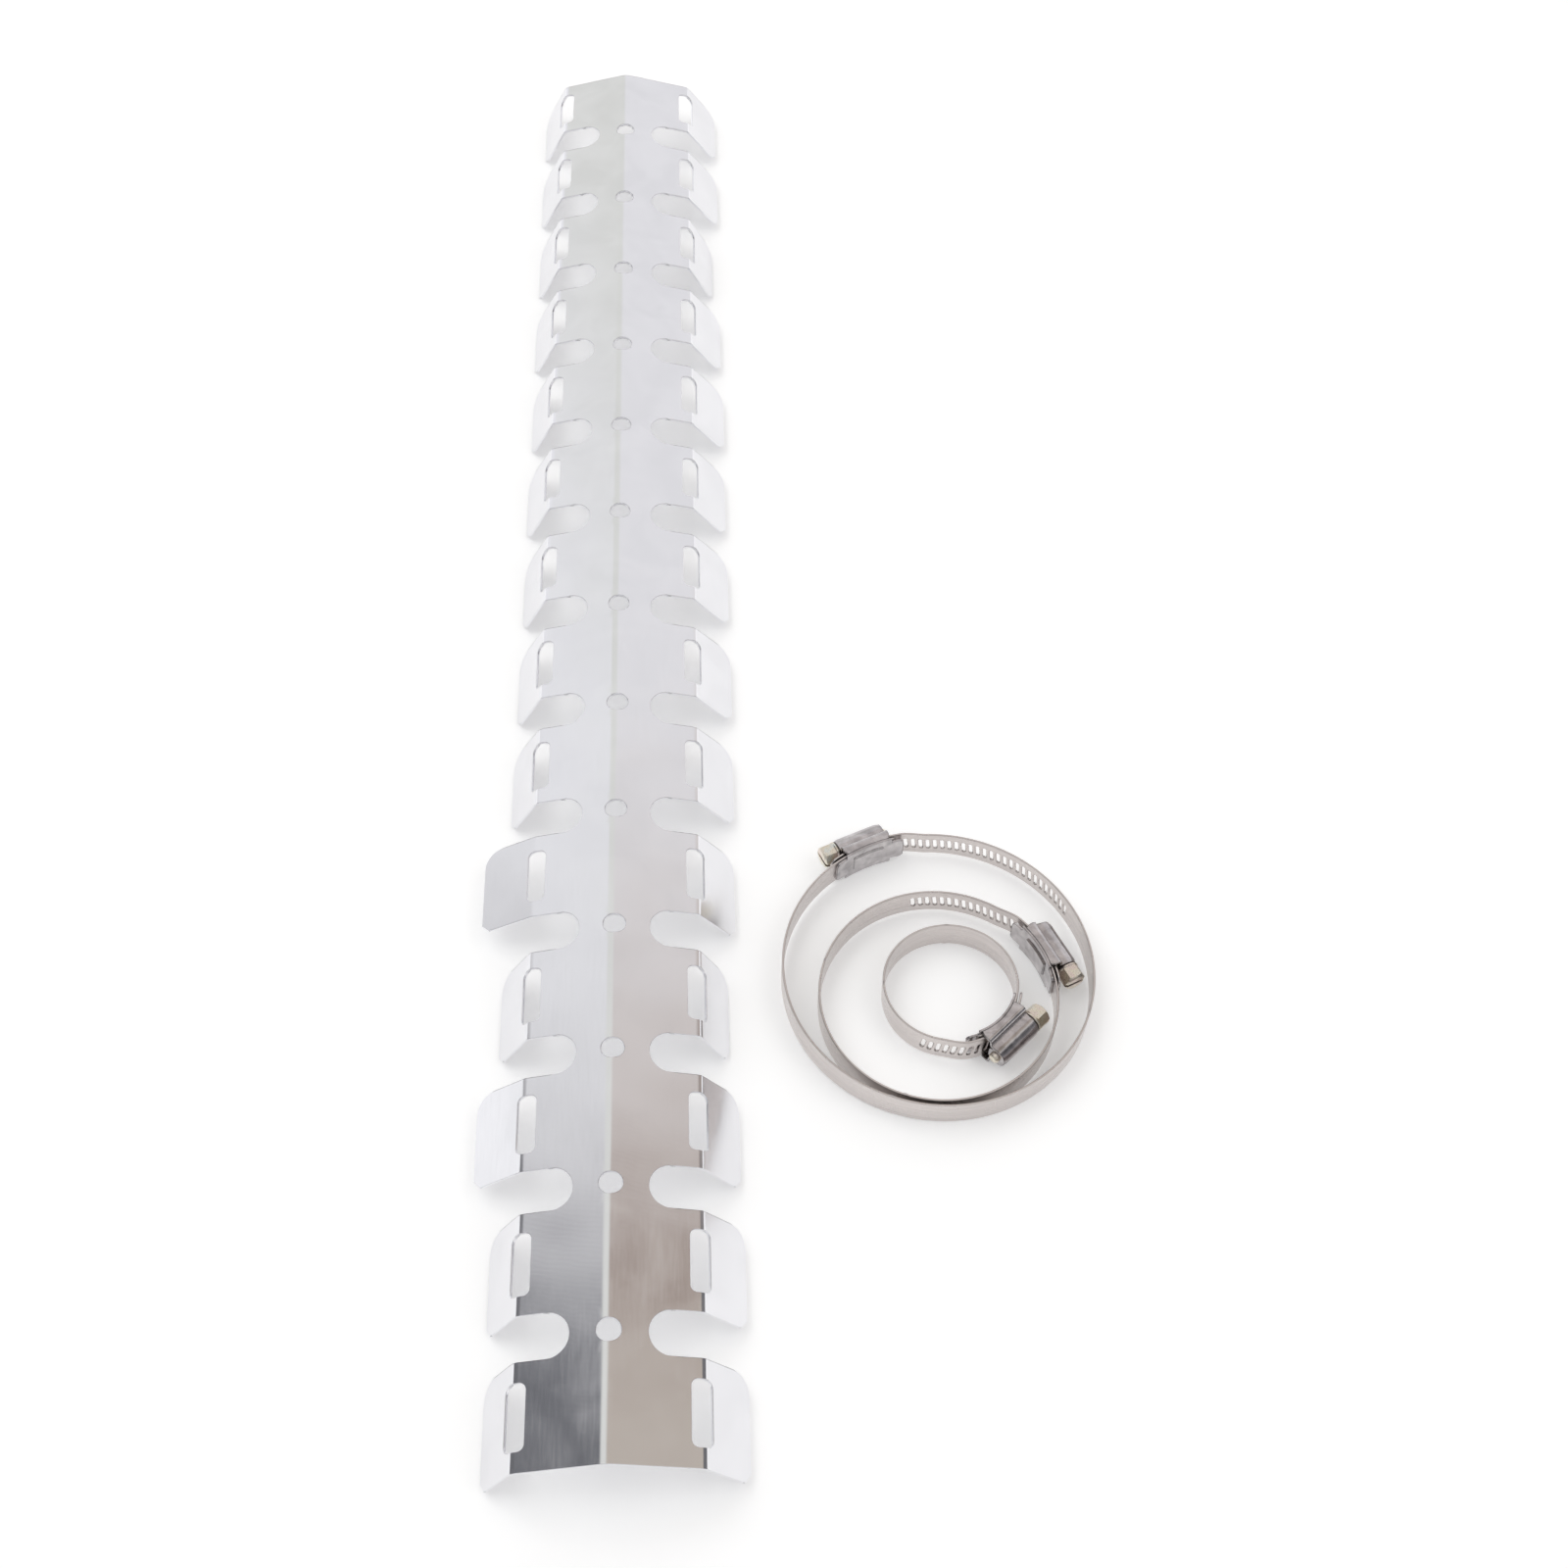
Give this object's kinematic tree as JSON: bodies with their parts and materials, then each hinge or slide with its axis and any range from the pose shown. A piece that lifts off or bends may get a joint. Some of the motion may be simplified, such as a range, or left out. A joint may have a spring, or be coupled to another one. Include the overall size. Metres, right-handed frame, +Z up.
{
  "type": "exhaust heat shield with band clamps",
  "caption": "Slotted stainless strip that bends at its necks and wraps an exhaust pipe as a heat shield, with worm-drive band clamps nested beside it.",
  "frame": {"origin": "middle of the bounding box at floor level", "axes": "+Y along the shield from its near end, +X towards the clamps, +Z up"},
  "size_m": [0.1864, 0.5752, 0.023],
  "materials": {
    "polished_steel": "bright polished stainless sheet",
    "band_steel": "bright rolled stainless band",
    "housing_steel": "pressed stainless, satin",
    "screw_zinc": "yellow passivated zinc plate"
  },
  "bodies": {
    "shield_segment_01": {"shield_segment_01": "polished_steel"},
    "shield_segment_02": {"shield_segment_02": "polished_steel"},
    "shield_segment_03": {"shield_segment_03": "polished_steel"},
    "shield_segment_04": {"shield_segment_04": "polished_steel"},
    "shield_segment_05": {"shield_segment_05": "polished_steel"},
    "shield_segment_06": {"shield_segment_06": "polished_steel"},
    "shield_segment_07": {"shield_segment_07": "polished_steel"},
    "shield_segment_08": {"shield_segment_08": "polished_steel"},
    "shield_segment_09": {"shield_segment_09": "polished_steel"},
    "shield_segment_10": {"shield_segment_10": "polished_steel"},
    "shield_segment_11": {"shield_segment_11": "polished_steel"},
    "shield_segment_12": {"shield_segment_12": "polished_steel"},
    "shield_segment_13": {"shield_segment_13": "polished_steel"},
    "shield_segment_14": {"shield_segment_14": "polished_steel"},
    "large_clamp_housing": {"large_clamp_housing": "housing_steel", "large_clamp_saddle": "housing_steel", "large_clamp_band_fixed_end": "band_steel"},
    "large_clamp_screw": {"large_clamp_screw": "screw_zinc"},
    "large_clamp_band_second": {"large_clamp_band_second": "band_steel"},
    "large_clamp_band_third": {"large_clamp_band_third": "band_steel"},
    "large_clamp_band_free_end": {"large_clamp_band_free_end": "band_steel"},
    "medium_clamp_housing": {"medium_clamp_housing": "housing_steel", "medium_clamp_saddle": "housing_steel", "medium_clamp_band_fixed_end": "band_steel"},
    "medium_clamp_screw": {"medium_clamp_screw": "screw_zinc"},
    "medium_clamp_band_second": {"medium_clamp_band_second": "band_steel"},
    "medium_clamp_band_third": {"medium_clamp_band_third": "band_steel"},
    "medium_clamp_band_free_end": {"medium_clamp_band_free_end": "band_steel"},
    "small_clamp_housing": {"small_clamp_housing": "housing_steel", "small_clamp_saddle": "housing_steel", "small_clamp_band_fixed_end": "band_steel"},
    "small_clamp_screw": {"small_clamp_screw": "screw_zinc"},
    "small_clamp_band_second": {"small_clamp_band_second": "band_steel"},
    "small_clamp_band_third": {"small_clamp_band_third": "band_steel"},
    "small_clamp_band_free_end": {"small_clamp_band_free_end": "band_steel"}
  },
  "joints": [
    {"name": "neck_07_bend", "type": "hinge", "parent": "shield_segment_07", "child": "shield_segment_08", "pos_m": [-0.05203, 0, 0.02115], "axis": [1, 0, 0], "range_deg": [-15, 15]},
    {"name": "neck_08_bend", "type": "hinge", "parent": "shield_segment_08", "child": "shield_segment_09", "pos_m": [-0.05203, 0.042, 0.02115], "axis": [1, 0, 0], "range_deg": [-15, 15]},
    {"name": "neck_09_bend", "type": "hinge", "parent": "shield_segment_09", "child": "shield_segment_10", "pos_m": [-0.05203, 0.084, 0.02115], "axis": [1, 0, 0], "range_deg": [-15, 15]},
    {"name": "neck_10_bend", "type": "hinge", "parent": "shield_segment_10", "child": "shield_segment_11", "pos_m": [-0.05203, 0.126, 0.02115], "axis": [1, 0, 0], "range_deg": [-15, 15]},
    {"name": "neck_11_bend", "type": "hinge", "parent": "shield_segment_11", "child": "shield_segment_12", "pos_m": [-0.05203, 0.168, 0.02115], "axis": [1, 0, 0], "range_deg": [-15, 15]},
    {"name": "neck_12_bend", "type": "hinge", "parent": "shield_segment_12", "child": "shield_segment_13", "pos_m": [-0.05203, 0.21, 0.02115], "axis": [1, 0, 0], "range_deg": [-15, 15]},
    {"name": "neck_13_bend", "type": "hinge", "parent": "shield_segment_13", "child": "shield_segment_14", "pos_m": [-0.05203, 0.252, 0.02115], "axis": [1, 0, 0], "range_deg": [-15, 15]},
    {"name": "neck_06_bend", "type": "hinge", "parent": "shield_segment_07", "child": "shield_segment_06", "pos_m": [-0.05203, -0.042, 0.02115], "axis": [-1, 0, 0], "range_deg": [-15, 15]},
    {"name": "neck_05_bend", "type": "hinge", "parent": "shield_segment_06", "child": "shield_segment_05", "pos_m": [-0.05203, -0.084, 0.02115], "axis": [-1, 0, 0], "range_deg": [-15, 15]},
    {"name": "neck_04_bend", "type": "hinge", "parent": "shield_segment_05", "child": "shield_segment_04", "pos_m": [-0.05203, -0.126, 0.02115], "axis": [-1, 0, 0], "range_deg": [-15, 15]},
    {"name": "neck_03_bend", "type": "hinge", "parent": "shield_segment_04", "child": "shield_segment_03", "pos_m": [-0.05203, -0.168, 0.02115], "axis": [-1, 0, 0], "range_deg": [-15, 15]},
    {"name": "neck_02_bend", "type": "hinge", "parent": "shield_segment_03", "child": "shield_segment_02", "pos_m": [-0.05203, -0.21, 0.02115], "axis": [-1, 0, 0], "range_deg": [-15, 15]},
    {"name": "neck_01_bend", "type": "hinge", "parent": "shield_segment_02", "child": "shield_segment_01", "pos_m": [-0.05203, -0.252, 0.02115], "axis": [-1, 0, 0], "range_deg": [-15, 15]},
    {"name": "large_clamp_lift", "type": "slide", "parent": "shield_segment_07", "child": "large_clamp_housing", "axis": [0, 0, 1], "range_m": [0, 0.08]},
    {"name": "large_clamp_screw_turn", "type": "hinge", "parent": "large_clamp_housing", "child": "large_clamp_screw", "pos_m": [0.02447, -0.0875, 0.00639], "axis": [0.9135, 0.4067, 0], "range_deg": [-720, 0]},
    {"name": "large_clamp_band_second_bend", "type": "hinge", "parent": "large_clamp_housing", "child": "large_clamp_band_second", "pos_m": [0.00247, -0.15416, 0.00576], "axis": [0.005, -0.0111, 0.9999], "range_deg": [-1.42, 0.01]},
    {"name": "large_clamp_band_third_bend", "type": "hinge", "parent": "large_clamp_band_second", "child": "large_clamp_band_third", "pos_m": [0.06479, -0.17808, 0.00519], "axis": [0.005, -0.0111, 0.9999], "range_deg": [-1.42, 0.01]},
    {"name": "large_clamp_band_free_end_bend", "type": "hinge", "parent": "large_clamp_band_third", "child": "large_clamp_band_free_end", "pos_m": [0.08871, -0.11576, 0.00576], "axis": [0.005, -0.0111, 0.9999], "range_deg": [-1.42, 0.01]},
    {"name": "medium_clamp_lift", "type": "slide", "parent": "shield_segment_07", "child": "medium_clamp_housing", "axis": [0, 0, 1], "range_m": [0, 0.08]},
    {"name": "medium_clamp_screw_turn", "type": "hinge", "parent": "medium_clamp_housing", "child": "medium_clamp_screw", "pos_m": [0.08165, -0.12768, 0.0064], "axis": [-0.4226, 0.9063, 0], "range_deg": [0, 540]},
    {"name": "medium_clamp_band_second_bend", "type": "hinge", "parent": "medium_clamp_housing", "child": "medium_clamp_band_second", "pos_m": [0.06003, -0.17726, 0.00575], "axis": [0.0144, 0.0067, -0.9999], "range_deg": [-0.01, 1.44]},
    {"name": "medium_clamp_band_third_bend", "type": "hinge", "parent": "medium_clamp_band_second", "child": "medium_clamp_band_third", "pos_m": [0.01246, -0.15995, 0.00519], "axis": [0.0144, 0.0067, -0.9999], "range_deg": [-0.01, 1.44]},
    {"name": "medium_clamp_band_free_end_bend", "type": "hinge", "parent": "medium_clamp_band_third", "child": "medium_clamp_band_free_end", "pos_m": [0.02977, -0.11237, 0.00575], "axis": [0.0144, 0.0067, -0.9999], "range_deg": [-0.01, 1.44]},
    {"name": "small_clamp_lift", "type": "slide", "parent": "shield_segment_07", "child": "small_clamp_housing", "axis": [0, 0, 1], "range_m": [0, 0.08]},
    {"name": "small_clamp_screw_turn", "type": "hinge", "parent": "small_clamp_housing", "child": "small_clamp_screw", "pos_m": [0.06621, -0.15912, 0.00641], "axis": [-0.7193, -0.6947, 0], "range_deg": [-360, 360]},
    {"name": "small_clamp_band_second_bend", "type": "hinge", "parent": "small_clamp_housing", "child": "small_clamp_band_second", "pos_m": [0.06341, -0.12715, 0.00573], "axis": [-0.0188, 0.0194, 0.9996], "range_deg": [-1.68, 1.68]},
    {"name": "small_clamp_band_third_bend", "type": "hinge", "parent": "small_clamp_band_second", "child": "small_clamp_band_third", "pos_m": [0.03485, -0.12665, 0.00519], "axis": [-0.0188, 0.0194, 0.9996], "range_deg": [-1.68, 1.68]},
    {"name": "small_clamp_band_free_end_bend", "type": "hinge", "parent": "small_clamp_band_third", "child": "small_clamp_band_free_end", "pos_m": [0.03435, -0.15521, 0.00573], "axis": [-0.0188, 0.0194, 0.9996], "range_deg": [-1.68, 1.68]}
  ],
  "couplings": [
    {"joint": "large_clamp_band_second_bend", "follows": "large_clamp_screw_turn", "ratio": 0.0019173},
    {"joint": "large_clamp_band_third_bend", "follows": "large_clamp_screw_turn", "ratio": 0.0019173},
    {"joint": "large_clamp_band_free_end_bend", "follows": "large_clamp_screw_turn", "ratio": 0.0019173},
    {"joint": "medium_clamp_band_second_bend", "follows": "medium_clamp_screw_turn", "ratio": 0.00259},
    {"joint": "medium_clamp_band_third_bend", "follows": "medium_clamp_screw_turn", "ratio": 0.00259},
    {"joint": "medium_clamp_band_free_end_bend", "follows": "medium_clamp_screw_turn", "ratio": 0.00259},
    {"joint": "small_clamp_band_second_bend", "follows": "small_clamp_screw_turn", "ratio": 0.0045375},
    {"joint": "small_clamp_band_third_bend", "follows": "small_clamp_screw_turn", "ratio": 0.0045375},
    {"joint": "small_clamp_band_free_end_bend", "follows": "small_clamp_screw_turn", "ratio": 0.0045375}
  ]
}
